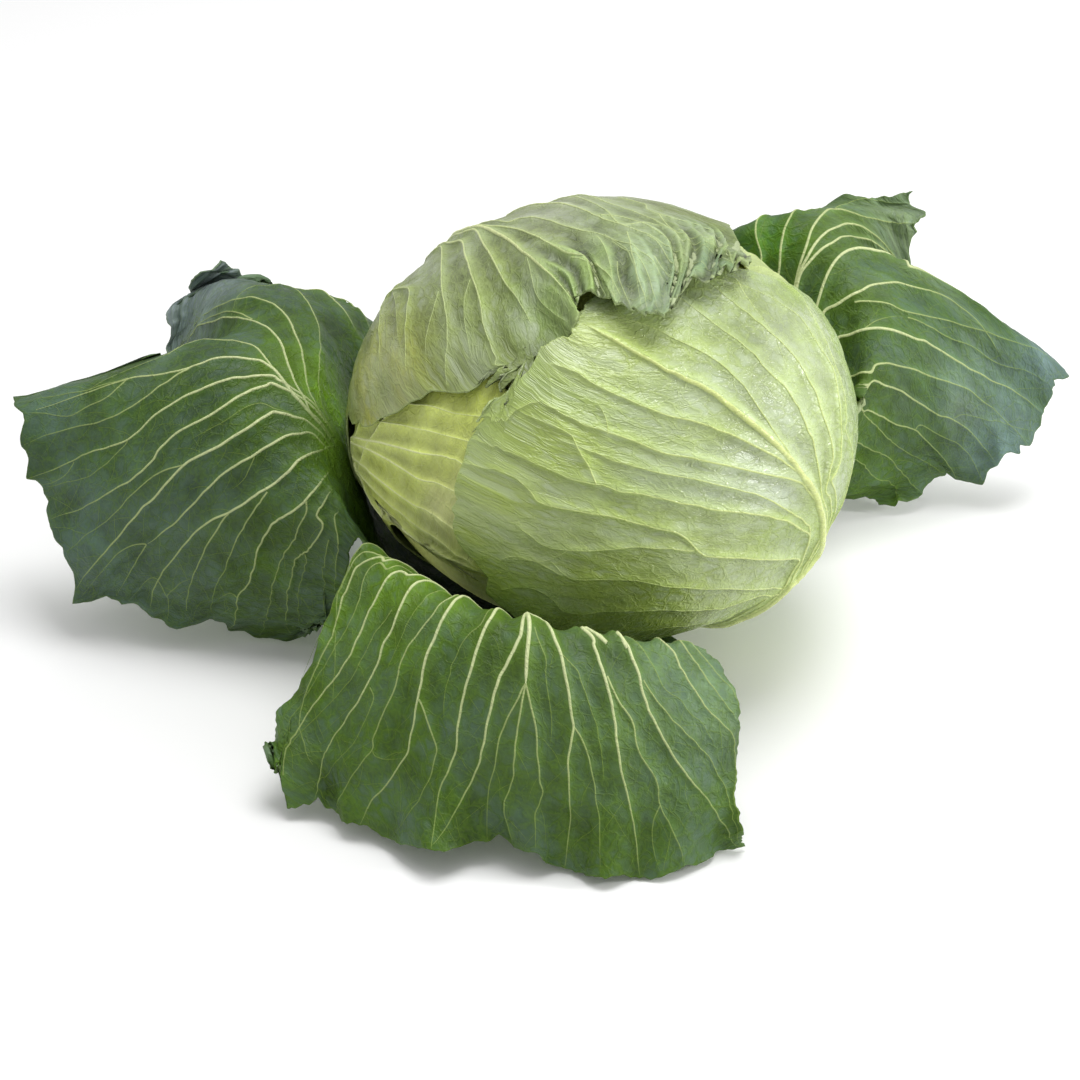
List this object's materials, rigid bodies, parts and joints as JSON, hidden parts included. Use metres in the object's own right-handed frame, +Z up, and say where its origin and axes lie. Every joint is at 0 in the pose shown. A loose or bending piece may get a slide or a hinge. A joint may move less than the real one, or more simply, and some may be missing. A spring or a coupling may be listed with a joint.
{
  "type": "cabbage head",
  "caption": "Round green cabbage head on its cut stem, wrapped in pale ribbed leaves, with dark waved outer leaves spread and drooping around it.",
  "frame": {"origin": "centre of the stem's cut face, in the plane of the surface that the cabbage stands on", "axes": "+Z up through the head from the cut face; +X to the right of the picture's view, along the widest spread of the outer leaves; +Y away from the viewer"},
  "size_m": [0.4355, 0.3268, 0.1761],
  "materials": {
    "heart": "satin",
    "wrapper_leaves": "satin",
    "inner_leaves": "satin",
    "crown_leaf": "satin",
    "outer_leaves": "satin",
    "stem": "matte"
  },
  "bodies": {
    "root": {"heart": "heart", "wrapper_leaf_front": "wrapper_leaves", "wrapper_leaf_left": "inner_leaves", "wrapper_leaf_crown": "crown_leaf", "wrapper_leaf_rear": "inner_leaves", "outer_leaf_left": "outer_leaves", "outer_leaf_front": "outer_leaves", "outer_leaf_right": "outer_leaves", "stem": "stem"}
  },
  "joints": []
}
